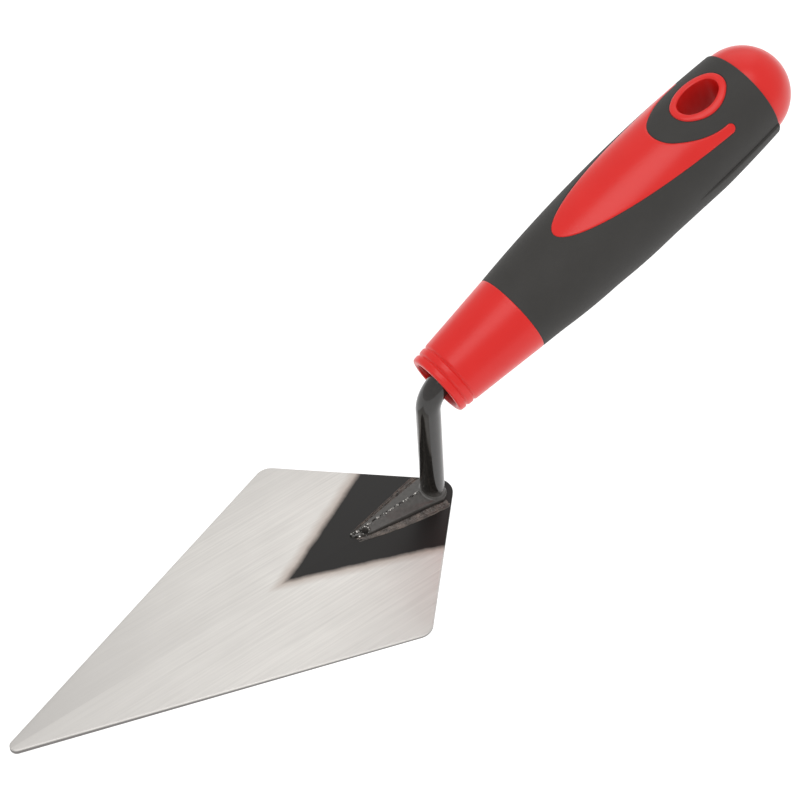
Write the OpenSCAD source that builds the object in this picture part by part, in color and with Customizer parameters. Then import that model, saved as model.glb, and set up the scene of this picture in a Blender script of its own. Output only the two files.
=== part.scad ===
// Pointing trowel: kite-shaped steel blade, forged swan-neck tang, two-component handle.
// Frame: +X to the blade's point, +Z up, origin on the blade's underside at the tang root.

/* [Blade] */
// Length of the blade from heel to nose
blade_len = 150; // [120:1:200]
// Width of the blade across the shoulders, before rounding
blade_w = 78.8; // [60:0.1:100]
// Distance from the tang root forward to the shoulders
shoulder_x = 31.8; // [20:0.1:45]
// Distance from the tang root back to the heel
heel_back = 6.7; // [5:0.1:9]
// Plate thickness along the middle line
blade_t = 1.6; // [1.2:0.1:2.5]
// Plate thickness at the shoulders, where it is ground thin
blade_edge_t = 0.9; // [0.6:0.1:1.2]
// Corner radius of the nose
nose_r = 2; // [1:0.5:4]
// Corner radius of each shoulder
shoulder_r = 5; // [2:0.5:9]
// Corner radius of the heel
heel_r = 5; // [2:0.5:6]

/* [Tang] */
// Diameter of the round bar
bar_d = 7.1; // [6:0.1:9]
// Forward lean of the bar above the blade, in degrees
bar_lean = 3.5; // [0:0.5:6]
// Radius of the bend on the bar's centre line
bend_r = 9; // [7:0.5:12]
// Length of the forged foot in front of the bar
foot_len = 28.4; // [22:0.1:34]
// Width of the foot under the bar
foot_w = 10.6; // [9:0.1:13]
// Height of the foot's ridge above the underside
foot_h = 4.1; // [3:0.1:6]
// Diameter of the tail inside the handle
tail_d = 6.4; // [5:0.1:7]
// How far the tail reaches into the handle
tail_len = 78; // [50:1:90]

/* [Welds] */
// Radius of the weld bead along each side of the foot
bead_r = 1.2; // [0.8:0.1:1.6]

/* [Handle] */
// Height of the handle's front face centre above the underside
handle_z = 46; // [40:0.05:50]
// Slope of the handle above the blade, in degrees
handle_rise = 23.1; // [15:0.1:30]
// Length of the handle with its domed end
handle_len = 134.05; // [120:0.1:150]
// Radius of the collar at its front face
front_r = 9.6; // [9:0.1:11]
// Largest radius of the grip
grip_r = 15.7; // [14:0.1:18]
// Distance from the front face to the grip's widest place
widest_at = 85.25; // [80:0.05:95]
// Radius of the long curve along the grip
curve_r = 480; // [420:5:600]
// Distance from the front face to the grip's front edge
grip_from = 29.5; // [28:0.05:34]
// Distance from the front face to the grip's rear edge
grip_to = 120.55; // [118:0.05:123]
// Thickness of the soft grip
grip_t = 2.2; // [1.5:0.1:3]
// Radius of the domed end
dome_r = 13.9; // [12:0.1:14.2]
// Radius of the recess around the bar in the front face
recess_r = 7.4; // [6.5:0.1:7.8]
// Depth of the recess
recess_depth = 8; // [6:0.5:12]

/* [Window and hang hole] */
// Distance from the front face to the window's front end
window_from = 52.15; // [48:0.05:60]
// Height of the window's plane above the handle's axis at that end
window_up = 14.3; // [14:0.05:14.5]
// Fall of that plane toward the butt, in degrees
window_fall = 6.2; // [5:0.1:7]
// Distance from the front face to the hang hole
hole_at = 106.75; // [106:0.05:110]
// Length of the hang hole along the handle
hole_len = 13.6; // [11:0.1:15]
// Width of the hang hole
hole_w = 9.2; // [7:0.1:10.5]
// Width of the rim around the hang hole
rim_w = 2.15; // [1.6:0.05:2.6]
// Length of the grip tongue around the hang hole
tongue_len = 34.2; // [30:0.1:36]
// Width of the grip tongue
tongue_w = 21.6; // [19:0.1:22.5]

/* [Hidden] */
$fn = 96;
// half angles of the kite at the nose and the heel, solved from the rounded length
half_w = blade_w / 2;
nose_end = blade_len - heel_back;
nose_run = nose_end - shoulder_x;
heel_run = heel_back + shoulder_x;
// sharp corners lie beyond the rounded ones by a little that depends on the half angle
nose_x = sharp(nose_run, nose_r, nose_run, 0) + shoulder_x;
heel_x = shoulder_x - sharp(heel_run, heel_r, heel_run, 0);
// handle axis starts where the slanted bar meets it
meet_t = 3.53;
bend_turn = 90 - handle_rise - bar_lean + 2 * bar_lean;
bend_tan = bend_r * tan(bend_turn / 2);
rise_dir = [-cos(handle_rise), 0, sin(handle_rise)];
front_pos = [-1.21, 0, handle_z];
meet = front_pos - meet_t * rise_dir;
bar_dir = [sin(bar_lean), 0, cos(bar_lean)];
root_x = meet[0] - (meet[2] - foot_h) * tan(bar_lean);
tail_r = tail_d / 2;
collar_end_r = grip_r - drop(grip_from);
boss_len = hole_len + 2 * rim_w * 1.02;
boss_w = hole_w + 2 * rim_w;
tail_tip_r = 1.4;
tail_tip_turn = 51;

// distance from the shoulder line to the sharp corner whose arc of radius r ends at run
function sharp(run, r, guess, n) =
    n > 30 ? guess : sharp(run, r, run + r / sin(atan(half_w / guess)) - r, n + 1);
// how far the grip's long curve has fallen below its widest radius at distance t
function drop(t) = curve_r - sqrt(curve_r * curve_r - (t - widest_at) * (t - widest_at));
function unit(v) = v / norm(v);

// ---------- shared shapes ----------

// arc centre of a rounded corner c between its neighbours a and b, for radius r
function corner_mid(a, c, b, r) =
    c + unit(unit(a - c) + unit(b - c)) * r / sin(corner_half(a, c, b));
function corner_half(a, c, b) = acos(unit(a - c) * unit(b - c)) / 2;

module kite_outline() {
    nose = [nose_x, 0];
    heel = [heel_x, 0];
    left = [shoulder_x, half_w];
    right = [shoulder_x, -half_w];
    hull() {
        translate(corner_mid(right, nose, left, nose_r)) circle(nose_r);
        translate(corner_mid(nose, left, heel, shoulder_r)) circle(shoulder_r);
        translate(corner_mid(left, heel, right, heel_r)) circle(heel_r);
        translate(corner_mid(heel, right, nose, shoulder_r)) circle(shoulder_r);
    }
}

// an oval of four tangent arcs: length a, width b, end radius r
module oval(a, b, r) {
    e = a / 2 - r;
    g = b / 2 - r;
    d = (e * e - g * g) / (2 * g);
    side = d + b / 2;
    touch = e * (1 + r / (side - r));
    translate([e, 0]) circle(r);
    translate([-e, 0]) circle(r);
    intersection() {
        translate([0, -d]) circle(side, $fn = 180);
        translate([0, d]) circle(side, $fn = 180);
        square([2 * touch, 2 * b], center = true);
    }
}

// puts a shape drawn along +X, with +Z as its top, onto the sloping handle axis
module on_handle() {
    translate(front_pos) rotate([0, handle_rise, 0]) rotate([0, 0, 180]) children();
}

// turns a half profile (radius, distance) about the handle axis
module turned() {
    rotate([0, 90, 0]) rotate_extrude($fn = 144) children();
}

// half profile under the long curve, less thick by t, between two distances
module curve_profile(t, from, to) {
    intersection() {
        translate([grip_r - curve_r, widest_at]) circle(curve_r - t, $fn = 1440);
        translate([0, from]) square([grip_r + 5, to - from]);
    }
}

// the slanted slice above the window plane, cut back by the tongue, with round tail tips
module window_zone() {
    difference() {
        intersection() {
            translate([window_from, 0, window_up])
                rotate([0, window_fall, 0])
                translate([-20, -30, 0])
                cube([120, 60, 20]);
            translate([window_from - 20, -30, 0]) cube([hole_at - window_from + 20, 60, 30]);
        }
        translate([hole_at - 0.2, 0, -1])
            linear_extrude(40)
            oval(tongue_len, tongue_w, tongue_w * 0.34);
    }
    for (side = [-1, 1])
        translate([hole_at, 0, 0])
            rotate([side * tail_tip_turn, 0, 0])
            cylinder(h = 30, r = tail_tip_r);
}

// straight oval bar across the handle, used for the rim boss and for its hole
module across(a, b) {
    translate([hole_at, 0, -25]) linear_extrude(50) oval(a, b, b * 0.4);
}

// the bent round bar from inside the foot to the end of its tail
module bar() {
    start = [root_x, 0, foot_h];
    rise_len = norm(meet - start) - bend_tan;
    tail_run = tail_len - bend_tan + meet_t;
    lap = 0.4;
    translate(start)
        rotate([0, bar_lean, 0])
        translate([0, 0, -2])
        cylinder(h = rise_len + 2 + lap, r = bar_d / 2);
    // the bend draws the bar a hair thinner, and its ends lap into the straight lengths
    translate(start + bar_dir * rise_len)
        rotate([0, bar_lean, 0])
        translate([-bend_r, 0, 0])
        rotate([90, 0, 0])
        rotate_extrude(angle = bend_turn)
        translate([bend_r, 0])
        circle(bar_d / 2 - 0.04);
    translate(meet + rise_dir * (bend_tan - lap))
        rotate([0, handle_rise - 90, 0])
        rotate_extrude()
        polygon([
            [0, 0],
            [bar_d / 2, 0],
            [bar_d / 2, 10],
            [tail_r, 10.4],
            [tail_r, tail_run - 0.8],
            [tail_r - 0.8, tail_run],
            [0, tail_run]
        ]);
}

module foot() {
    intersection() {
        // plan of the wedge
        linear_extrude(20)
            polygon([
                [foot_len, 0.7],
                [root_x + 1, foot_w / 2],
                [root_x - 2.4, foot_w / 2 - 0.6],
                [root_x - 4, foot_w / 2 - 2.6],
                [root_x - 4, 2.6 - foot_w / 2],
                [root_x - 2.4, 0.6 - foot_w / 2],
                [root_x + 1, -foot_w / 2],
                [foot_len, -0.7]
            ]);
        // roof with a middle ridge
        rotate([90, 0, 90])
            translate([0, 0, -20])
            linear_extrude(60)
            polygon([
                [-foot_w, 0],
                [foot_w, 0],
                [foot_w, foot_h - foot_w * 0.38],
                [0, foot_h],
                [-foot_w, foot_h - foot_w * 0.38]
            ]);
        // fall toward the tip and behind the bar
        rotate([90, 0, 0])
            translate([0, 0, -20])
            linear_extrude(40)
            polygon([
                [-20, 0],
                [foot_len + 1, 0],
                [foot_len + 1, foot_h - 1.3],
                [foot_len - 5, foot_h],
                [root_x - 2.5, foot_h],
                [-20, foot_h - 6]
            ]);
    }
}

// bead of weld metal along one side of the foot
module weld(side) {
    from = [foot_len - 1.2, side * 1.1, blade_t + 0.1];
    to = [root_x - 1.5, side * (foot_w / 2 + 0.3), blade_t + 0.1];
    run = to - from;
    difference() {
        translate(from)
            rotate([0, 90, atan2(run[1], run[0])])
            rotate_extrude()
            polygon([
                [0, -0.7 * bead_r],
                [0.6 * bead_r, -0.5 * bead_r],
                [bead_r, 0.3 * bead_r],
                [bead_r, norm(run) - 0.3 * bead_r],
                [0.6 * bead_r, norm(run) + 0.5 * bead_r],
                [0, norm(run) + 0.7 * bead_r]
            ]);
        under_top();
        foot();
    }
}

// everything under the blade's top faces, as a long bar with a low ridge
module under_top() {
    slope = (blade_t - blade_edge_t) / half_w;
    rotate([90, 0, 90])
        translate([0, 0, -60])
        linear_extrude(260)
        polygon([
            [-60, -2],
            [60, -2],
            [60, blade_t - 60 * slope],
            [0, blade_t],
            [-60, blade_t - 60 * slope]
        ]);
}

// ---------- pieces ----------

module blade() {
    color("silver")
        intersection() {
            linear_extrude(5) kite_outline();
            under_top();
        }
}

module tang() {
    color("dimgray") {
        difference() {
            union() {
                foot();
                bar();
                // short flare where the bar grows out of the foot
                translate([root_x, 0, foot_h])
                    rotate([0, bar_lean, 0])
                    translate([0, 0, -2])
                    cylinder(h = 5, r1 = bar_d / 2 + 0.7, r2 = bar_d / 2);
            }
            under_top();
        }
    }
}

module weld_near() {
    color("black") weld(1);
}

module weld_far() {
    color("black") weld(-1);
}

module handle_core() {
    color("crimson")
        on_handle()
        difference() {
            union() {
                turned() collar_profile();
                turned() curve_profile(grip_t, grip_from - 1, grip_to + 1);
                turned() dome_profile();
                intersection() {
                    turned() curve_profile(0, grip_from, grip_to);
                    union() {
                        window_zone();
                        across(boss_len, boss_w);
                    }
                }
            }
            across(hole_len, hole_w);
            rotate([0, 90, 0]) translate([0, 0, -1]) cylinder(h = recess_depth + 1, r = recess_r);
            rotate([0, 90, 0]) cylinder(h = bend_tan - meet_t + 10, r = bar_d / 2);
            rotate([0, 90, 0]) cylinder(h = tail_len, r = tail_r);
        }
}

// front collar with two ring grooves behind its lip
module collar_profile() {
    grow = (collar_end_r - front_r) / grip_from;
    difference() {
        polygon([
            [0, 0],
            [front_r - 0.7, 0],
            [front_r, 0.7],
            [collar_end_r, grip_from],
            [0, grip_from]
        ]);
        for (at = [2.45, 5]) translate([front_r + grow * at + 0.15, at]) circle(0.55, $fn = 32);
    }
}

module dome_profile() {
    intersection() {
        translate([0, handle_len - dome_r]) circle(dome_r);
        translate([0, grip_to]) square([20, 20]);
    }
}

module grip() {
    color("darkslategray")
        on_handle()
        difference() {
            turned() curve_profile(0, grip_from, grip_to);
            turned() curve_profile(grip_t, grip_from - 1, grip_to + 1);
            window_zone();
            across(boss_len, boss_w);
        }
}

blade();
tang();
weld_near();
weld_far();
handle_core();
grip();
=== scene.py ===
import math

import bpy
import numpy as np
from mathutils import Matrix, Vector, kdtree, noise
from mathutils.geometry import delaunay_2d_cdt


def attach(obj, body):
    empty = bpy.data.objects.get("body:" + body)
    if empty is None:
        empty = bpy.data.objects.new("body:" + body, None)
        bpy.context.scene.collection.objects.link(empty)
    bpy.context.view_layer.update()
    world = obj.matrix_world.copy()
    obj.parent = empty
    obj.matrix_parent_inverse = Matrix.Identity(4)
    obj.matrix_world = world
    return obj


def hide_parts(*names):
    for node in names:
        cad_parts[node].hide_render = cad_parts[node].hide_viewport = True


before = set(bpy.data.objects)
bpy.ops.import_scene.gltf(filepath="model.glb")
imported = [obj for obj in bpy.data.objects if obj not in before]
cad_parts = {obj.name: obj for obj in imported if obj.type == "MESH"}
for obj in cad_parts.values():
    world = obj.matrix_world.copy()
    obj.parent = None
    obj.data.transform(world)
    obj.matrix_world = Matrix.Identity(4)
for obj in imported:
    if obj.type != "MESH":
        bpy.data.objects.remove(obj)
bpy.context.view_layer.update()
MM = 0.001

# ------------------------------------------------------------------ dimensions, in millimetres
# blade
BLADE_LEN = 150.0  # from the heel to the nose
BLADE_W = 78.8  # between the sharp shoulders, before they are rounded
BLADE_T = 1.6  # thickness on the middle line
BLADE_EDGE_T = 0.9  # thickness at the shoulders
SHOULDER_X = 31.8  # where the blade is widest
HEEL_BACK = 6.7  # how far the rounded heel lies behind the origin
SHARP_HEEL = 8.85  # how far behind the origin the heel would lie if it were sharp
NOSE_R = 2.0
SHOULDER_R = 5.0
HEEL_R = 5.0

# bar and foot
BAR_R = 3.55
BAR_FILLET = 0.7  # between the foot and the bar
TAIL_R = 3.2  # of the bar inside the handle
TAIL_TO = 78.0  # where the tail ends, along the handle
LEAN = math.radians(3.5)  # the riser leans this much toward the point
BEND_R = 9.0  # of the bar's middle line in the bend
FOOT_LEN = 28.4  # from the origin to its tip
FOOT_H = 4.1  # height where the bar's middle line starts
FOOT_TIP = 28.3  # where the foot's front slope reaches the plate
PIT_X, PIT_Y = 24.3, -0.1  # where the pass of weld ended

# handle: t is the distance from its front face along its axis
RISE = math.radians(23.1)  # slope of the handle
FRONT = np.array([-1.21, 0.0, 46.0])  # middle of the front face
H_DIR = np.array([-math.cos(RISE), 0.0, math.sin(RISE)])
H_UP = np.array([math.sin(RISE), 0.0, math.cos(RISE)])
Y_DIR = np.array([0.0, 1.0, 0.0])
HANDLE_LEN = 134.05
COLLAR_R = 9.6  # at the front face
GRIP_FROM = 29.5  # where the black grip starts
GRIP_TO = 120.55  # and where it ends, at the dome
GRIP_R = 15.7  # at the widest place
WIDEST = 85.25  # where that is
CURVE_R = 480.0  # of the grip's side, seen lengthwise
DOME_R = 13.9
PART_FROM = 89.0  # where the crease along the parting line begins

# the window's long edge lies in a plane, WIN_UP above the axis at WIN_FROM
WIN_FROM = 52.15
WIN_UP = 14.3
WIN_FALL = math.tan(math.radians(6.2))

# ovals seen square to the handle, as length, width and radius of the ends: the hang hole, its
# raised rim, and the tongue of black grip that cuts into the window from behind
HOLE_AT = 106.75
HOLE = (13.6, 9.2, 9.2 * 0.4)
BOSS = (13.6 + 2 * 2.15 * 1.02, 13.5, 13.5 * 0.4)
TONGUE_AT = HOLE_AT - 0.2
TONGUE = (34.2, 21.6, 21.6 * 0.34)

# the flat map of the handle's skin is (t, MAP_R * angle from the top)
MAP_R = 15.0

# where the bar's middle line meets the handle's axis, and where it leaves the foot
MEET = FRONT - 3.53 * H_DIR
BAR_DIR = np.array([math.sin(LEAN), 0.0, math.cos(LEAN)])
ROOT = np.array([MEET[0] - (MEET[2] - FOOT_H) * math.tan(LEAN), 0.0, FOOT_H])


# ------------------------------------------------------------------ helpers
def make(name, verts, faces, replaces=(), sharp=None):
    """A smooth mesh object from millimetre vertices, riding on the one body."""
    me = bpy.data.meshes.new(name)
    me.from_pydata([tuple(float(c) * MM for c in v) for v in verts], [], [tuple(f) for f in faces])
    me.validate()
    me.polygons.foreach_set("use_smooth", [True] * len(me.polygons))
    me.update()
    ob = bpy.data.objects.new(name, me)
    bpy.context.scene.collection.objects.link(ob)
    if sharp is not None:
        me.set_sharp_from_angle(angle=math.radians(sharp))
    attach(ob, "root")
    for node in replaces:
        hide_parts(node)
    return ob


def unit(v):
    return v / np.linalg.norm(v)


def smoothstep(a, b, x):
    t = np.clip((x - a) / (b - a), 0.0, 1.0)
    return t * t * (3 - 2 * t)


def nz(x, y, z, scale, seed):
    """Smooth noise between -1 and 1."""
    return noise.noise(Vector((x * scale + seed, y * scale - seed, z * scale + 2 * seed)))


def on_handle(t, rho, phi):
    """A point at distance t along the handle, radius rho, angle phi from the top toward +Y."""
    return FRONT + H_DIR * t + rho * (math.cos(phi) * H_UP + math.sin(phi) * Y_DIR)


def revolve(profile, closed_end=False):
    """Vertices and outward faces of a profile of (t, radius) turned about the handle axis."""
    segs = 192
    verts, faces = [], []
    for t, r in profile:
        for i in range(segs):
            verts.append(on_handle(t, r, 2 * math.pi * i / segs))
    for k in range(len(profile) - 1):
        for i in range(segs):
            j = (i + 1) % segs
            faces.append((k * segs + i, (k + 1) * segs + i, (k + 1) * segs + j, k * segs + j))
    if closed_end:
        verts.append(on_handle(profile[-1][0], 0.0, 0.0))
        c, k = len(verts) - 1, len(profile) - 1
        faces += [(k * segs + i, c, k * segs + (i + 1) % segs) for i in range(segs)]
    return verts, faces


def compact(faces):
    """The vertices that the faces use, in order, and the faces counted on those alone."""
    used = sorted({i for f in faces for i in f})
    index = {v: i for i, v in enumerate(used)}
    return used, [tuple(index[i] for i in f) for f in faces]


def join(*parts):
    """Several (vertices, faces) pairs as one."""
    verts, faces = [], []
    for vs, fs in parts:
        base = len(verts)
        verts += list(vs)
        faces += [tuple(i + base for i in f) for f in fs]
    return verts, faces


# ------------------------------------------------------------------ blade
def kite_outline(inset):
    """Rounded kite, as one closed list of points, moved inward by inset."""
    hw = BLADE_W / 2
    nose_end = BLADE_LEN - HEEL_BACK

    def sharp_run(run, r):
        """Distance from the shoulders to a corner that ends at run once it is rounded to r."""
        guess = run
        for _ in range(40):
            guess = run + r / math.sin(math.atan(hw / guess)) - r
        return guess

    nose = np.array([SHOULDER_X + sharp_run(nose_end - SHOULDER_X, NOSE_R), 0.0])
    heel = np.array([SHOULDER_X - sharp_run(HEEL_BACK + SHOULDER_X, HEEL_R), 0.0])
    left, right = np.array([SHOULDER_X, hw]), np.array([SHOULDER_X, -hw])
    pts = []
    for a, c, b, r, n in (
        (right, nose, left, NOSE_R, 24),
        (nose, left, heel, SHOULDER_R, 20),
        (left, heel, right, HEEL_R, 28),
        (heel, right, nose, SHOULDER_R, 20),
    ):
        ua, ub = unit(a - c), unit(b - c)
        half = math.acos(float(ua @ ub)) / 2
        mid = c + unit(ua + ub) * r / math.sin(half)
        p0, p1 = c + ua * r / math.tan(half) - mid, c + ub * r / math.tan(half) - mid
        a0, a1 = math.atan2(p0[1], p0[0]), math.atan2(p1[1], p1[0])
        while a1 < a0:
            a1 += 2 * math.pi
        for i in range(n + 1):
            w = a0 + (a1 - a0) * i / n
            pts.append(mid + (r - inset) * np.array([math.cos(w), math.sin(w)]))
    return pts


def blade_top(y):
    """Height of the plate's top, which falls evenly from the middle line to the shoulders."""
    return BLADE_T - (BLADE_T - BLADE_EDGE_T) / (BLADE_W / 2) * abs(y)


def build_blade():
    """Plate with a low middle ridge, worn round edges and a slightly eased lower edge."""
    loops = []
    # (inset, depth below the top) down the upper edge, then (inset, height) round the lower one
    for inset, drop in ((0.55, 0.0), (0.28, 0.035), (0.1, 0.12), (0.0, 0.3)):
        loops.append([(p[0], p[1], blade_top(p[1]) - drop) for p in kite_outline(inset)])
    for inset, z in ((0.0, 0.22), (0.06, 0.08), (0.2, 0.0)):
        loops.append([(p[0], p[1], z) for p in kite_outline(inset)])
    n = len(loops[0])
    verts = [v for loop in loops for v in loop]
    faces = []
    for k in range(len(loops) - 1):
        for i in range(n):
            j = (i + 1) % n
            faces.append((k * n + i, (k + 1) * n + i, (k + 1) * n + j, k * n + j))
    # top: strips between the rim and the ridge, so that the ridge is a real edge
    rim = loops[0]
    ridge = len(verts)
    verts += [(p[0], 0.0, blade_top(0)) for p in rim]
    for i in range(n):
        j = (i + 1) % n
        faces.append((i, j, ridge + j, ridge + i))
    faces.append(tuple(reversed([(len(loops) - 1) * n + i for i in range(n)])))
    return make("blade_plate", verts, faces, replaces=["blade"])


# ------------------------------------------------------------------ tang
def bar_path():
    """Middle line of the bar from inside the foot, round the bend and into the handle, and its end."""
    into_handle = 12.0
    rise_len = float(np.linalg.norm(MEET - ROOT))
    turn = math.pi / 2 - RISE + LEAN
    tan_len = BEND_R * math.tan(turn / 2)
    pts = []
    for s in np.linspace(-2.0, rise_len - tan_len, 22, endpoint=False):
        pts.append(ROOT + BAR_DIR * s)
    start = ROOT + BAR_DIR * (rise_len - tan_len)
    side = np.array([-math.cos(LEAN), 0.0, math.sin(LEAN)])
    centre = start + side * BEND_R
    for a in np.linspace(0, turn, 26):
        pts.append(centre - side * BEND_R * math.cos(a) + BAR_DIR * BEND_R * math.sin(a))
    end = MEET + H_DIR * tan_len
    for s in np.linspace(1.0, into_handle, 8):
        pts.append(end + H_DIR * s)
    return pts, end + H_DIR * into_handle


def sweep(path, radii):
    """A round bar along a path in the XZ plane, closed at both ends."""
    segs = 64
    verts, faces = [], []
    for k, p in enumerate(path):
        along = path[min(k + 1, len(path) - 1)] - path[max(k - 1, 0)]
        side = unit(np.cross(along, Y_DIR))
        for i in range(segs):
            w = 2 * math.pi * i / segs
            verts.append(p + radii[k] * (math.cos(w) * Y_DIR + math.sin(w) * side))
    for k in range(len(path) - 1):
        for i in range(segs):
            j = (i + 1) % segs
            faces.append((k * segs + i, k * segs + j, (k + 1) * segs + j, (k + 1) * segs + i))
    faces.append(tuple(reversed(range(segs))))
    faces.append(tuple((len(path) - 1) * segs + i for i in range(segs)))
    return verts, faces


def foot_edges(x):
    """Far and near edge of the foot's top, which sits a little to the far side of the bar."""
    near, far = 4.1 - 0.138 * (x - 2.0), -5.9 + 0.162 * (x - 2.0)
    nose_from = 24.5
    if x > nose_from:
        near = 1.0 - 0.55 * (x - nose_from)
    # behind the bar both edges close in a round end about a middle line on the far side
    round_from, round_len, middle = ROOT[0] + 0.6, 4.6, -0.9
    if x < round_from:
        k = math.sqrt(max(0.0, 1 - min(1.0, (round_from - x) / round_len) ** 3))
        near, far = middle + (4.45 - middle) * k, middle - (6.2 + middle) * k
    return far, near


def soft_min(a, b, k):
    """The lower of a and b, blended over a width of k where they are close."""
    h = max(0.0, min(1.0, 0.5 + 0.5 * (b - a) / k))
    return b + (a - b) * h - k * h * (1 - h)


def ridge_line(x):
    """Where the ridge of the foot runs, on the far side of the middle line."""
    return -0.85 - 0.02 * x


def ridge_height(x):
    """Height of that ridge, level near the bar and falling toward the tip."""
    return 4.5 - 0.072 * max(0.0, x - 4.0)


def foot_height(x, y):
    """Top of the forged foot above the underside of the blade."""
    tip = FOOT_TIP - x
    far, near = foot_edges(x)
    off = y - ridge_line(x)
    roof = ridge_height(x) - max(0.0, 3.0 - tip) * 0.25 - (0.35 * off if off > 0 else -0.34 * off)
    roof += 0.015 * nz(x, y, 0, 0.5, 1.0)
    # a shallow rough furrow along the ridge, left by the forging die
    furrow = math.exp(-((off / 0.42) ** 2))
    roof += furrow * (-0.06 + 0.24 * nz(x, y, 0, 1.6, 3.1) + 0.20 * nz(x, y, 0, 3.7, 8.2))
    floor_z = blade_top(y) - 0.3
    edge = min(near - y, y - far)
    z = soft_min(roof, floor_z + 6.0 * edge + 0.2, 0.20)
    z = soft_min(z, floor_z + 2.4 * tip, 0.3)
    z = soft_min(z, floor_z + 2.2 * (x - (ROOT[0] - 4.0)), 0.5)
    # pit with a raised rim
    pit = math.hypot(x - PIT_X, (y - PIT_Y) * 1.1)
    z += 0.25 * math.exp(-(((pit - 1.2) / 0.28) ** 2)) - 1.5 * math.exp(-((pit / 0.80) ** 4))
    # small fillet up into the round bar
    r = math.hypot(x - ROOT[0], y)
    if r < BAR_R + BAR_FILLET:
        u = min(BAR_FILLET, BAR_R + BAR_FILLET - r)
        up = BAR_FILLET - math.sqrt(max(0.0, BAR_FILLET**2 - u * u))
        z += up * float(smoothstep(0.0, 0.9, edge))
    return z


def blob(centre, size, squash, seed):
    """A small frozen drop of metal."""
    verts, faces, n, m = [], [], 10, 6
    for k in range(m + 1):
        a = math.pi * k / m
        for i in range(n):
            w = 2 * math.pi * i / n
            d = np.array([math.cos(w) * math.sin(a), math.sin(w) * math.sin(a), math.cos(a) * squash])
            verts.append(centre + d * size * (1 + 0.22 * nz(*(d * 2.0), 1.0, seed)))
    for k in range(m):
        for i in range(n):
            j = (i + 1) % n
            faces.append((k * n + i, (k + 1) * n + i, (k + 1) * n + j, k * n + j))
    return verts, faces


def build_spatter():
    """Drops of weld metal along the ridge, round the pit and at the tip of the foot."""
    rng = np.random.default_rng(7)
    parts = []
    along_ridge, round_pit = 95, 10
    for i in range(along_ridge):
        x = 4.2 + 19.0 * (i + rng.uniform(-0.4, 0.4)) / along_ridge
        y = ridge_line(x) + rng.normal(0.0, 0.16)
        size = rng.uniform(0.07, 0.14) + 0.16 * rng.uniform(0, 1) ** 3
        parts.append(blob(np.array([x, y, foot_height(x, y) + size * 0.25]), size, 0.8, i * 1.3))
    for i in range(round_pit):
        w = 2 * math.pi * i / round_pit + rng.uniform(-0.2, 0.2)
        x, y = PIT_X + 1.2 * math.cos(w), PIT_Y + 1.1 * math.sin(w)
        at = np.array([x, y, foot_height(x, y) + 0.02])
        parts.append(blob(at, rng.uniform(0.14, 0.26), 0.8, 40 + i))
    # larger drops at the tip: place and size
    for x, y, z, size in (
        (25.6, -1.0, 2.75, 0.50),
        (26.3, -1.3, 2.45, 0.55),
        (27.1, -1.6, 2.15, 0.58),
        (27.9, -1.9, 1.90, 0.45),
        (26.5, 0.1, 1.95, 0.40),
        (27.3, -0.5, 1.80, 0.38),
    ):
        parts.append(blob(np.array([x, y, z]), size, 0.7, x * 3))
    verts, faces = join(*parts)
    return make("weld_spatter", verts, faces)


def build_tang():
    """The bar with its tail inside the handle, and the top of the foot as a fine height field."""
    path, last = bar_path()
    radii = [BAR_R] * len(path)
    tail_end = FRONT + H_DIR * TAIL_TO
    path.append(last + H_DIR * 0.4)
    radii.append(TAIL_R)
    for s in np.linspace(0.1, 0.985, 6):
        path.append(last + (tail_end - last) * s)
        radii.append(TAIL_R)
    path.append(tail_end)
    radii.append(TAIL_R * 0.75)
    verts, faces = sweep(path, radii)
    xs = np.arange(ROOT[0] - 4.2, FOOT_LEN + 0.35, 0.13)
    ys = np.arange(-6.6, 4.9001, 0.11)
    base, nx, ny = len(verts), len(xs), len(ys)
    inside = np.zeros((nx, ny), bool)
    for i, x in enumerate(xs):
        for j, y in enumerate(ys):
            z = foot_height(x, y)
            inside[i, j] = z > blade_top(y) - 0.28
            verts.append((x, y, max(z, blade_top(y) - 0.3)))
    for i in range(nx - 1):
        for j in range(ny - 1):
            if inside[i, j] or inside[i + 1, j] or inside[i, j + 1] or inside[i + 1, j + 1]:
                a = base + i * ny + j
                faces.append((a, a + ny, a + ny + 1, a + 1))
    used, faces = compact(faces)
    verts = [verts[i] for i in used]
    return make("tang_forging", verts, faces, replaces=["tang"], sharp=60)


def heel_limit(x):
    """About half the width of the plate near the heel, less a small margin."""
    return (x + SHARP_HEEL) * (BLADE_W / 2 + 0.6) / (SHOULDER_X + SHARP_HEEL) - 0.55


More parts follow.
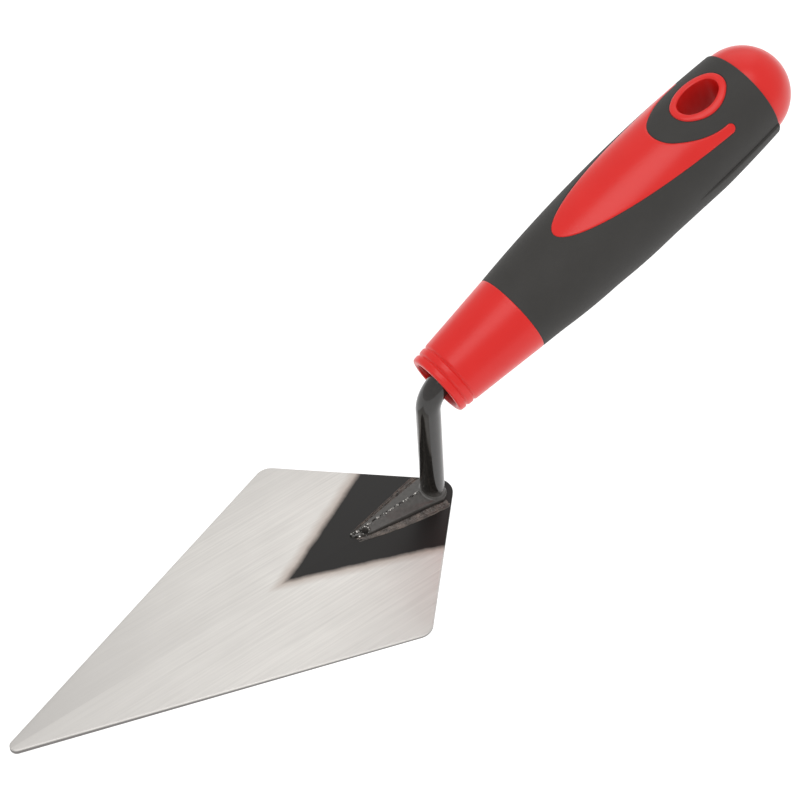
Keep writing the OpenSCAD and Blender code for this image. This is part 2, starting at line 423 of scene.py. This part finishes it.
def build_weld(side):
    """Uneven fillet of weld metal from the plate up the side of the foot, thin at its front end."""
    x0, x1 = FOOT_LEN + 0.2, ROOT[0] - (1.6 if side > 0 else 0.4)
    n, m = 320, 26  # faces along the bead and across it
    verts, faces = [], []
    for k in range(n + 1):
        u = k / n
        x = x0 + (x1 - x0) * u
        far, near = foot_edges(x)
        # from just inside the foot's side to the toe of the bead, further out on the far side
        inner = (near if side > 0 else -far) - 0.10
        outer = 7.1 - 0.20 * (x + 0.5) if side > 0 else 8.6 - 0.215 * (x - 0.9)
        outer += 0.9 * math.sin(math.pi * u) if side > 0 else 0.0
        outer = min(outer + 0.14 * nz(x, 7.7, side, 0.5, 2.2), heel_limit(x))
        ends = math.sin(0.5 * math.pi * min(1.0, (k + 2.0) / 60.0, (n - k + 0.6) / 14.0))
        wide = max(0.35, outer - inner)
        wall = foot_height(x, side * (inner - 0.3)) - blade_top(inner)
        rise = max(0.5, wall - 0.55) * ends
        for i in range(m + 1):
            v = i / m
            y = inner + wide * v
            # fall to the plate, a line of metal at the toe, and a second one on the far side
            slope = (1 - v) ** 0.85 if side > 0 else (1 - v) ** 1.3
            toe = 0.34 * math.exp(-(((v - 0.90) / 0.07) ** 2)) * ends
            if side < 0:
                toe += 0.42 * math.exp(-(((v - 0.42) / 0.10) ** 2)) * ends
            # roughness, and a groove where the bead meets the foot
            rough = 0.20 * nz(x, y, side, 1.9, 6.0) + 0.15 * nz(x, y, side, 4.3, 1.0)
            rough *= math.sin(math.pi * min(1.0, v + 0.12)) * ends
            groove = 0.9 * math.exp(-((v / 0.12) ** 2)) * ends
            z = blade_top(y) - 0.12 + rise * slope + toe + rough - groove
            verts.append((x, side * y, z))
    for k in range(n):
        for i in range(m):
            a = k * (m + 1) + i
            f = (a, a + 1, a + m + 2, a + m + 1)
            faces.append(f if side < 0 else tuple(reversed(f)))
    name = "weld_bead_near" if side > 0 else "weld_bead_far"
    node = "weld_near" if side > 0 else "weld_far"
    return make(name, verts, faces, replaces=[node])


# ------------------------------------------------------------------ handle skin
def grip_radius(t):
    return GRIP_R - (CURVE_R - math.sqrt(CURVE_R**2 - (t - WIDEST) ** 2))


def finger_dip(t, phi):
    """Depth of the three shallow finger rests round the lower half of the grip."""
    lower = smoothstep(70.0, 150.0, abs(math.degrees(math.atan2(math.sin(phi), math.cos(phi)))))
    dip = sum(math.exp(-(((t - c) / 5.2) ** 2)) for c in (36.0, 57.3, 78.8))
    return 0.20 * float(lower) * dip


def oval_half(a, b, r, tau):
    """Half width of an oval of four tangent arcs at distance tau from its middle, or None outside."""
    e, g = a / 2 - r, b / 2 - r
    d = (e * e - g * g) / (2 * g)
    side = d + b / 2
    touch = e * (1 + r / (side - r))
    tau = abs(tau)
    if tau > a / 2:
        return None
    if tau < touch:
        return math.sqrt(side * side - tau * tau) - d
    return math.sqrt(max(0.0, r * r - (tau - e) ** 2))


def oval_loop(a, b, r, n):
    """Evenly spaced points of that oval, as (tau, y)."""
    dense = []
    for i in range(2000):
        w = math.pi * i / 1999
        tau = -a / 2 * math.cos(w)
        dense.append((tau, oval_half(a, b, r, tau)))
    dense += [(x, -y) for x, y in reversed(dense[1:-1])]
    return resample(dense, n)


def resample(pts, n):
    """n evenly spaced points of a closed loop."""
    p = np.array(pts, float)
    q = np.vstack([p, p[:1]])
    seg = np.linalg.norm(np.diff(q, axis=0), axis=1)
    s = np.concatenate([[0], np.cumsum(seg)])
    want = np.linspace(0, s[-1], n, endpoint=False)
    return [(float(np.interp(w, s, q[:, 0])), float(np.interp(w, s, q[:, 1]))) for w in want]


def window_loop():
    """Outline of the window in the flat map, with a tail on each side of the tongue."""
    tip_t = HOLE_AT
    side = []
    for i in range(6001):
        t = 50.0 + 60.0 * i / 6000
        c = (WIN_UP - (t - WIN_FROM) * WIN_FALL) / grip_radius(t)
        if c < 1.0 and t < tip_t:
            side.append((t, MAP_R * math.acos(c)))
    outer = [(side[0][0] - 0.02, 0.0)] + side
    # round tip of the tail, between the outer edge and the tongue's edge
    v_out = side[-1][1]
    v_in = MAP_R * math.asin(oval_half(*TONGUE, 0.0) / grip_radius(tip_t))
    mid, rad = (v_out + v_in) / 2, (v_out - v_in) / 2
    turn = np.linspace(0.05, math.pi - 0.05, 40)
    tip = [(tip_t + rad * math.sin(w), mid + rad * math.cos(w)) for w in turn]
    inner = []
    for i in range(1500):
        w = 0.5 * math.pi * i / 1499
        tau = -TONGUE[0] / 2 * math.sin(w)
        y = oval_half(*TONGUE, tau)
        t = TONGUE_AT + tau
        inner.append((t, MAP_R * math.asin(y / grip_radius(t))))
    half = outer + tip + inner
    loop = half + [(t, -v) for t, v in reversed(half[1:-1])]
    return resample(loop, 620)


def plan_to_map(tau, y, bottom):
    """A point beside the hang hole's middle, put on the top or the bottom of the skin."""
    t = HOLE_AT + tau
    phi = math.asin(y / grip_radius(t))
    if bottom:
        phi = math.pi - phi
    return (t, MAP_R * phi)


def inside_poly(p, poly):
    """Whether a closed loop goes round the point p."""
    x, y = p
    n, hit = len(poly), False
    j = n - 1
    for i in range(n):
        xi, yi = poly[i]
        xj, yj = poly[j]
        if (yi > y) != (yj > y) and x < (xj - xi) * (y - yi) / (yj - yi) + xi:
            hit = not hit
        j = i
    return hit


def offset_loop(loop, d):
    """Points of a closed loop moved sideways by d, to the left of its direction."""
    n = len(loop)
    out = []
    for i in range(n):
        a, b = np.array(loop[i - 1]), np.array(loop[(i + 1) % n])
        q = unit(b - a)
        out.append((loop[i][0] - q[1] * d, loop[i][1] + q[0] * d))
    return out


def tree_of(points):
    """A search tree for the nearest of the points."""
    kd = kdtree.KDTree(len(points))
    for i, p in enumerate(points):
        kd.insert((p[0], p[1], 0.0), i)
    kd.balance()
    return kd


def parting(t, side):
    """Where the parting line lies in the flat map at distance t, on one side or the other."""
    phi = math.radians(91.0 + 0.20 * (t - PART_FROM))
    return MAP_R * (phi if side > 0 else 2 * math.pi - phi)


def build_handle_skin():
    """The handle's skin, triangulated in the flat map and sorted into grip, window and rims."""
    win = window_loop()
    holes, rims = [], []
    for bottom in (False, True):
        holes.append([plan_to_map(a, y, bottom) for a, y in oval_loop(*HOLE, 150)])
        rims.append([plan_to_map(a, y, bottom) for a, y in oval_loop(*BOSS, 200)])
    v0, v1 = -MAP_R * math.pi / 2, MAP_R * math.pi * 1.5
    fixed = [win] + holes + rims
    near = tree_of([p for loop in fixed for p in loop])
    points, edges = [], []
    for loop in fixed:
        base, n = len(points), len(loop)
        points += loop
        edges += [(base + i, base + (i + 1) % n) for i in range(n)]
    # rows beside each outline, for its groove
    for loop in fixed:
        for d in (-0.75, -0.42, -0.2, -0.09, 0.09, 0.2, 0.42, 0.75):
            for p in offset_loop(loop, d):
                on_grip = GRIP_FROM + 0.3 < p[0] < GRIP_TO - 0.3
                if on_grip and near.find((p[0], p[1], 0))[2] > abs(d) * 0.93:
                    points.append(p)
    # grid, with finer rows beside both ends of the grip and along the parting lines
    ts = list(np.linspace(GRIP_FROM + 1.0, GRIP_TO - 1.0, 92))
    ends = [0.0, 0.06, 0.14, 0.25, 0.4, 0.6]
    ts = [GRIP_FROM + e for e in ends] + ts + [GRIP_TO - e for e in reversed(ends)]
    nv = 104
    for i, t in enumerate(ts):
        for j in range(nv + 1):
            v = v0 + (v1 - v0) * j / nv
            edge_row = i < len(ends) or i >= len(ts) - len(ends)
            if edge_row or near.find((t, v, 0))[2] > 1.0:
                points.append((t, v))
    for side in (1, -1):
        line = [(t, parting(t, side)) for t in np.arange(PART_FROM, GRIP_TO - 0.3, 0.4)]
        base, n = len(points), len(line)
        points += line
        edges += [(base + i, base + i + 1) for i in range(n - 1)]
        for d in (-1.1, -0.7, -0.42, -0.24, -0.14, -0.07, 0.07, 0.14, 0.24, 0.42, 0.7, 1.1):
            points += [(t, v + d) for t, v in line]
    verts2, _, tris, _, _, _ = delaunay_2d_cdt([Vector(p) for p in points], edges, [], 0, 1e-6)
    groups = {"black": [], "window": [], "rim": []}
    for tri in tris:
        if len(tri) != 3:
            continue
        c = sum((verts2[i] for i in tri), Vector((0, 0))) / 3
        p = (c.x, c.y)
        near_hole = abs(p[0] - HOLE_AT) < BOSS[0] / 2 + 1
        if near_hole and any(inside_poly(p, h) for h in holes):
            continue
        if near_hole and any(inside_poly(p, r) for r in rims):
            groups["rim"].append(tri)
        elif -MAP_R * 1.2 < p[1] < MAP_R * 1.2 and inside_poly(p, win):
            groups["window"].append(tri)
        else:
            groups["black"].append(tri)
    seam = tree_of(win + rims[0] + rims[1])
    lip = tree_of(holes[0] + holes[1])

    def skin(v, kind):
        """Radius of the skin at a point of the flat map."""
        t, phi = v.x, v.y / MAP_R
        r = grip_radius(t) - finger_dip(t, phi)
        d = seam.find((v.x, v.y, 0))[2]
        # each kind has a fine groove along its outline; the rim is proud, with a rounded lip
        if kind == "rim":
            r += 0.30 * float(smoothstep(0.0, 0.35, d)) - 0.16 * math.exp(-((d / 0.13) ** 2))
            e = lip.find((v.x, v.y, 0))[2]
            r -= 0.42 * (1 - min(1.0, e / 0.5)) ** 2
            return r
        if kind == "window":
            return r - 0.16 * math.exp(-((d / 0.13) ** 2)) - 0.05 * math.exp(-((d / 0.4) ** 2))
        r -= 0.16 * math.exp(-((d / 0.13) ** 2)) + 0.02 * math.exp(-((d / 0.5) ** 2))
        # crease along the parting line, with the skin below it proud, dying away toward the front
        fade = float(smoothstep(PART_FROM - 4.0, PART_FROM + 12.0, t))
        near_line = min(v.y - parting(t, 1), parting(t, -1) - v.y)
        proud = smoothstep(-0.04, 0.26, near_line) * (1 - smoothstep(5.0, 15.0, near_line))
        r += fade * (0.55 * float(proud) - 0.34 * math.exp(-((near_line / 0.15) ** 2)))
        # rounded edges at both ends of the grip
        r -= 0.55 * (1 - min(1.0, (GRIP_TO - t) / 0.45)) ** 2.2
        r -= 0.10 * (1 - min(1.0, (t - GRIP_FROM) / 0.25)) ** 2
        return r

    def mesh_of(tris, kind):
        used, fs = compact(tris)
        vs = [on_handle(verts2[i].x, skin(verts2[i], kind), verts2[i].y / MAP_R) for i in used]
        # the map's two long edges become one, where the skin closes on itself
        return merge_doubles(vs, fs)

    return {k: mesh_of(v, k) for k, v in groups.items()}


def merge_doubles(vs, fs):
    """The mesh with vertices at the same place made one, and without the faces that close up."""
    seen, index, out = {}, [], []
    for v in vs:
        key = tuple(round(float(c), 3) for c in v)
        if key not in seen:
            seen[key] = len(out)
            out.append(v)
        index.append(seen[key])
    faces = [tuple(index[i] for i in f) for f in fs]
    return out, [f for f in faces if len(set(f)) == 3]


def turned(vs, fs, way):
    """Faces turned to look the way that way(middle of the face) points."""
    out = []
    for f in fs:
        a, b, c = (np.array(vs[i]) for i in f[:3])
        n = np.cross(b - a, c - a)
        out.append(f if n @ way((a + b + c) / 3) > 0 else tuple(reversed(f)))
    return out


def from_axis(point):
    m = point - FRONT
    return m - H_DIR * float(m @ H_DIR)


def collar_radius(t):
    """A cone from the front face to the grip, with two ring grooves."""
    r = COLLAR_R + (grip_radius(GRIP_FROM) - COLLAR_R) * t / GRIP_FROM
    for at in (2.45, 5.0):
        r -= 0.42 * math.exp(-(((t - at) / 0.36) ** 2))
    return r


def build_handle():
    """The red core, with collar, dome, window, rims and the hang hole's wall, and the black grip."""
    groups = build_handle_skin()
    parts = []
    # recess round the bar as (t, radius), then the collar's rounded lip and its cone
    prof = [(8.0, 3.7), (8.0, 6.6), (7.6, 7.2), (6.8, 7.4), (1.2, 7.5), (0.5, 7.62)]
    prof += [(0.15, 7.85), (0.0, 8.2), (0.0, 8.6)]
    lip, lip_r = 0.75, 8.75
    for w in np.linspace(0, math.pi / 2, 8):
        prof.append((lip - lip * math.cos(w), lip_r + (collar_radius(lip) - lip_r) * math.sin(w)))
    for t in np.arange(0.9, 9.0, 0.1):
        prof.append((float(t), collar_radius(float(t))))
    for t in np.linspace(9.0, GRIP_FROM - 0.5, 36):
        prof.append((float(t), collar_radius(float(t))))
    end = collar_radius(GRIP_FROM)
    prof.append((GRIP_FROM - 0.25, collar_radius(GRIP_FROM - 0.25) - 0.01))
    prof += [(GRIP_FROM - 0.1, end - 0.05), (GRIP_FROM, end - 0.12), (GRIP_FROM, end - 1.0)]
    parts.append(revolve(prof))
    # domed butt
    dome_t = HANDLE_LEN - DOME_R
    prof = [(GRIP_TO - 0.3, 12.0), (GRIP_TO - 0.3, 13.85)]
    for w in np.linspace(math.asin((GRIP_TO - dome_t) / DOME_R), math.pi / 2 * 0.985, 56):
        prof.append((dome_t + DOME_R * math.sin(w), DOME_R * math.cos(w)))
    parts.append(revolve(prof, closed_end=True))
    for kind in ("window", "rim"):
        vs, fs = groups[kind]
        parts.append((vs, turned(vs, fs, from_axis)))
    # straight wall of the hang hole between its two lips
    n, rows = 150, 12
    vs, fs = [], []
    for a, y in oval_loop(*HOLE, n):
        t = HOLE_AT + a
        hi = math.sqrt(max(0.0, (grip_radius(t) - 0.28) ** 2 - y * y)) + 0.16
        for k in range(rows + 1):
            up = hi * (1 - 2 * k / rows)
            vs.append(FRONT + H_DIR * t + H_UP * up + Y_DIR * y)
    for i in range(n):
        j = (i + 1) % n
        for k in range(rows):
            a, b = i * (rows + 1) + k, j * (rows + 1) + k
            fs.append((a, a + 1, b + 1, b))
    mid = FRONT + H_DIR * HOLE_AT
    parts.append((vs, turned(vs, fs, lambda point: mid - point)))
    verts, faces = join(*parts)
    core = make("core_moulding", verts, faces, replaces=["handle_core"], sharp=50)
    vs, fs = groups["black"]
    fs = turned(vs, fs, from_axis)
    grip = make("grip_overmould", vs, fs, replaces=["grip"], sharp=50)
    return core, grip


blade = build_blade()
tang = build_tang()
drops = build_spatter()
weld_near = build_weld(1)
weld_far = build_weld(-1)
core, grip = build_handle()


# ------------------------------------------------------------------ materials
class Tree:
    """A node material with one Principled shader, built up by small calls. Lengths are in metres."""

    def __init__(self, name):
        self.mat = bpy.data.materials.new(name)
        self.mat.use_nodes = True
        self.nt = self.mat.node_tree
        self.nt.nodes.clear()
        self.out = self.add("ShaderNodeOutputMaterial")
        self.bsdf = self.add("ShaderNodeBsdfPrincipled")
        self.link(self.bsdf.outputs[0], self.out.inputs[0])
        self.obj = self.add("ShaderNodeTexCoord").outputs["Object"]

    def add(self, kind, **props):
        n = self.nt.nodes.new(kind)
        for k, v in props.items():
            setattr(n, k, v)
        return n

    def link(self, a, b):
        self.nt.links.new(a, b)

    def put(self, socket, value):
        if hasattr(value, "links"):
            self.link(value, socket)
        else:
            socket.default_value = value

    def math(self, op, a, b=0.0):
        n = self.add("ShaderNodeMath", operation=op)
        for s, v in zip(n.inputs, (a, b)):
            self.put(s, v)
        return n.outputs[0]

    def xyz(self):
        n = self.add("ShaderNodeSeparateXYZ")
        self.link(self.obj, n.inputs[0])
        return n.outputs

    def mapping(self, scale, rot):
        n = self.add("ShaderNodeMapping")
        self.link(self.obj, n.inputs[0])
        n.inputs["Scale"].default_value = scale
        n.inputs["Rotation"].default_value = rot
        return n.outputs[0]

    def noise(self, scale, detail, rough, vec=None):
        n = self.add("ShaderNodeTexNoise")
        self.put(n.inputs["Vector"], vec or self.obj)
        n.inputs["Scale"].default_value = scale
        n.inputs["Detail"].default_value = detail
        n.inputs["Roughness"].default_value = rough
        return n.outputs["Fac"]

    def ramp(self, fac, stops):
        n = self.add("ShaderNodeValToRGB")
        self.put(n.inputs[0], fac)
        el = n.color_ramp.elements
        while len(el) < len(stops):
            el.new(0.5)
        for e, (pos, col) in zip(el, stops):
            e.position = pos
            e.color = (*col, 1)
        return n.outputs[0]

    def span(self, value, a, b, lo=0.0, hi=1.0):
        n = self.add("ShaderNodeMapRange")
        self.put(n.inputs[0], value)
        for k, v in zip((1, 2, 3, 4), (a, b, lo, hi)):
            n.inputs[k].default_value = v
        return n.outputs[0]

    def mix(self, fac, a, b):
        n = self.add("ShaderNodeMix", data_type="RGBA")
        self.put(n.inputs[0], fac)
        for s, v in ((n.inputs[6], a), (n.inputs[7], b)):
            self.put(s, v if hasattr(v, "links") else (*v, 1))
        return n.outputs[2]

    def mixf(self, fac, a, b):
        n = self.add("ShaderNodeMix", data_type="FLOAT")
        self.put(n.inputs[0], fac)
        self.put(n.inputs[2], a)
        self.put(n.inputs[3], b)
        return n.outputs[0]

    def bump(self, height, strength, distance):
        n = self.add("ShaderNodeBump")
        self.put(n.inputs["Height"], height)
        n.inputs["Strength"].default_value = strength
        n.inputs["Distance"].default_value = distance
        return n.outputs[0]

    def set(self, name, value):
        self.put(self.bsdf.inputs[name], value)

    def finish(self, ob):
        ob.data.materials.clear()
        ob.data.materials.append(self.mat)


def steel_material():
    m = Tree("ground_steel_lacquered")
    x, y, z = m.xyz()
    ay = m.math("ABSOLUTE", y)
    near_side = m.math("GREATER_THAN", y, 0.0)
    # two grinding directions, one on each side of the middle line
    streaks, slant = (30, 1400, 30), math.radians(20)
    grain_far = m.noise(1.0, 5, 0.6, m.mapping(streaks, (0, 0, -slant)))
    grain_near = m.noise(1.0, 5, 0.6, m.mapping(streaks, (0, 0, slant)))
    grain = m.mixf(near_side, grain_far, grain_near)
    cloud = m.noise(38.0, 3, 0.55)
    # lacquer sprayed round the tang: a feathered wedge with its point on the middle line
    wedge_point = 0.0522
    slope = m.mixf(near_side, 2.1, 2.45)
    reach = m.math("SUBTRACT", m.math("SUBTRACT", wedge_point, x), m.math("MULTIPLY", ay, slope))
    reach = m.math("MULTIPLY", reach, 0.41)  # from along the middle line to square to the edge
    wob = m.math("MULTIPLY", m.math("SUBTRACT", m.noise(170.0, 3, 0.6), 0.5), 0.0012)
    edge = m.math("ADD", reach, wob)
    top_side = m.math("GREATER_THAN", z, 0.0002)
    paint = m.math("MULTIPLY", m.span(edge, -0.0009, 0.0007), top_side)
    halo = m.math("MULTIPLY", m.span(edge, -0.0032, -0.0004), top_side)
    metal = [(0.30, (0.62, 0.603, 0.580)), (0.72, (0.80, 0.782, 0.755))]
    bare = m.ramp(m.mixf(0.3, grain, cloud), metal)
    # painted shade: darker toward the point, the far half more so, standing in for the different way
    # the two ground halves reflect light; also darker toward the shoulders
    tip_painted_shade = m.math("MULTIPLY", m.span(x, 0.055, 0.135), m.mixf(near_side, 0.85, 0.60))
    to_side = m.math("MULTIPLY", m.span(ay, 0.020, 0.038), 0.40)
    bare = m.mix(m.math("MAXIMUM", tip_painted_shade, to_side), bare, (0.54, 0.525, 0.51))
    bare = m.mix(m.math("MULTIPLY", halo, 0.6), bare, (0.36, 0.27, 0.22))
    # cut edge of the plate, just below the top and above the sole: duller than the ground faces, and
    # painted far darker as painted shade, a dark line in place of the bright floor that the thin side
    # face would mirror
    below = m.math("SUBTRACT", m.math("SUBTRACT", 0.00152, m.math("MULTIPLY", ay, 0.0178)), z)
    painted_edge_shade = m.math("MULTIPLY", m.span(below, 0.00012, 0.0003), m.span(z, 0.00003, 0.0001))
    bare = m.mix(painted_edge_shade, bare, (0.20, 0.19, 0.185))
    m.set("Base Color", m.mix(paint, bare, (0.011, 0.010, 0.0095)))
    m.set("Metallic", m.mixf(paint, 0.82, 0.0))
    rough_bare = m.span(grain, 0.25, 0.75, 0.44, 0.58)
    m.set("Roughness", m.mixf(paint, rough_bare, 0.34))
    m.set("IOR", 1.37)
    height = m.math("MULTIPLY", grain, m.mixf(paint, 1.0, 0.35))
    m.set("Normal", m.bump(height, 0.35, 0.00004))
    m.finish(blade)


def lacquer_material():
    m = Tree("black_lacquer_gloss")
    speck = m.noise(900.0, 3, 0.6)
    peel = m.noise(260.0, 2, 0.5)
    z = m.xyz()[2]
    # thinner, greyer lacquer over the forged foot than on the round bar
    on_foot = m.span(z, 0.0062, 0.0045)
    bar = m.ramp(speck, [(0.3, (0.010, 0.009, 0.008)), (0.75, (0.020, 0.018, 0.016))])
    foot = m.ramp(speck, [(0.3, (0.040, 0.037, 0.034)), (0.75, (0.070, 0.065, 0.060))])
    m.set("Base Color", m.mix(on_foot, bar, foot))
    gloss = m.span(peel, 0.3, 0.7, 0.10, 0.18)
    m.set("Roughness", m.mixf(on_foot, gloss, m.span(speck, 0.3, 0.7, 0.30, 0.42)))
    m.set("Coat Weight", 0.30)
    m.set("Coat Roughness", 0.07)
    m.set("IOR", 1.5)
    m.set("Normal", m.bump(peel, 0.10, 0.0003))
    m.finish(tang)


def weld_material():
    m = Tree("lacquered_weld_metal")
    fine = m.noise(1500.0, 4, 0.65)
    patch = m.noise(420.0, 3, 0.6)
    stops = [(0.30, (0.030, 0.026, 0.023)), (0.55, (0.090, 0.072, 0.061)), (0.75, (0.19, 0.150, 0.125))]
    m.set("Base Color", m.ramp(patch, stops))
    m.set("Roughness", m.span(fine, 0.3, 0.7, 0.22, 0.5))
    m.set("Coat Weight", 0.35)
    m.set("Coat Roughness", 0.15)
    m.set("Normal", m.bump(fine, 0.6, 0.0003))
    for ob in (weld_near, weld_far):
        m.finish(ob)


def spatter_material():
    m = Tree("frozen_weld_drops")
    patch = m.noise(700.0, 2, 0.5)
    fine = m.noise(2400.0, 3, 0.6)
    stops = [(0.46, (0.03, 0.028, 0.026)), (0.60, (0.70, 0.68, 0.65))]
    m.set("Base Color", m.ramp(patch, stops))
    m.set("Metallic", 0.9)
    m.set("Roughness", m.span(fine, 0.3, 0.7, 0.16, 0.34))
    m.set("Normal", m.bump(fine, 0.3, 0.0001))
    m.finish(drops)


def red_material():
    m = Tree("red_moulded_plastic")
    spark = m.noise(2600.0, 3, 0.6)
    cloud = m.noise(90.0, 3, 0.5)
    stops = [(0.0, (0.64, 0.012, 0.010)), (1.0, (0.70, 0.018, 0.014))]
    m.set("Base Color", m.ramp(cloud, stops))
    m.set("Roughness", m.span(cloud, 0.0, 1.0, 0.26, 0.34))
    m.set("IOR", 1.42)
    m.set("Normal", m.bump(spark, 0.04, 0.0001))
    m.finish(core)


def grip_material():
    m = Tree("black_soft_grip")
    fine = m.noise(3200.0, 3, 0.7)
    cloud = m.noise(120.0, 4, 0.6)
    stops = [(0.0, (0.028, 0.027, 0.025)), (1.0, (0.044, 0.042, 0.040))]
    m.set("Base Color", m.ramp(m.mixf(0.35, cloud, fine), stops))
    m.set("Roughness", m.span(fine, 0.0, 1.0, 0.58, 0.74))
    m.set("IOR", 1.38)
    m.set("Normal", m.bump(fine, 0.25, 0.0002))
    m.finish(grip)


steel_material()
lacquer_material()
weld_material()
spatter_material()
red_material()
grip_material()


# ------------------------------------------------------------------ stage, light and camera
def floor():
    """A plain pale floor, just below the blade so that the two never lie in one plane."""
    me = bpy.data.meshes.new("floor")
    s, z = 3.0, -0.0003
    me.from_pydata([(-s, -s, z), (s, -s, z), (s, s, z), (-s, s, z)], [], [(0, 1, 2, 3)])
    ob = bpy.data.objects.new("floor", me)
    bpy.context.scene.collection.objects.link(ob)
    mat = bpy.data.materials.new("pale_floor")
    mat.use_nodes = True
    b = mat.node_tree.nodes["Principled BSDF"]
    b.inputs["Base Color"].default_value = (0.25, 0.25, 0.25, 1)
    b.inputs["Roughness"].default_value = 0.9
    b.inputs["Emission Color"].default_value = (1, 1, 1, 1)
    b.inputs["Emission Strength"].default_value = 0.95
    me.materials.append(mat)


def panel(name, direction, width, radiance):
    """A square soft light that faces the middle of the object."""
    distance = 1.3
    light = bpy.data.lights.new(name, "AREA")
    light.shape = "RECTANGLE"
    light.size, light.size_y = width, width
    light.energy = radiance * math.pi * width * width
    ob = bpy.data.objects.new(name, light)
    bpy.context.scene.collection.objects.link(ob)
    d = Vector(direction).normalized()
    ob.location = Vector((0, 0, 0.03)) + d * distance
    ob.rotation_euler = (-d).to_track_quat("-Z", "Y").to_euler()


floor()
panel("panel_over", (0.17, 0.20, 0.96), 0.95, 2.0)
# dimmer than the world: what the blade mirrors there is darker than the rest
panel("panel_back", (-0.50, -0.55, 0.72), 1.0, 0.45)

world = bpy.data.worlds.new("studio")
bpy.context.scene.world = world
world.use_nodes = True
background = world.node_tree.nodes["Background"]
background.inputs["Color"].default_value = (1.0, 0.99, 0.975, 1)
background.inputs["Strength"].default_value = 0.74

# camera fitted to the photograph's view: lens in millimetres, the rest in metres
AZ = math.radians(141.227)
EL = math.radians(46.489)
ROLL = math.radians(0.16)
DIST = 0.6967
FOCAL = 103.5
TARGET = Vector((-0.01726, -0.03611, 0.0))
cam_data = bpy.data.cameras.new("camera")
cam_data.sensor_width = 36.0
cam_data.lens = FOCAL
cam_data.clip_start = 0.01
cam = bpy.data.objects.new("camera", cam_data)
bpy.context.scene.collection.objects.link(cam)
away = Vector((math.sin(AZ) * math.cos(EL), -math.cos(AZ) * math.cos(EL), math.sin(EL)))
cam.location = TARGET + away * DIST
across = away.cross(Vector((0, 0, -1))).normalized()
over = away.cross(across)
right = across * math.cos(ROLL) + over * math.sin(ROLL)
cam.rotation_euler = Matrix((right, away.cross(right), away)).transposed().to_euler()
bpy.context.scene.camera = cam
bpy.context.scene.view_settings.view_transform = "Standard"
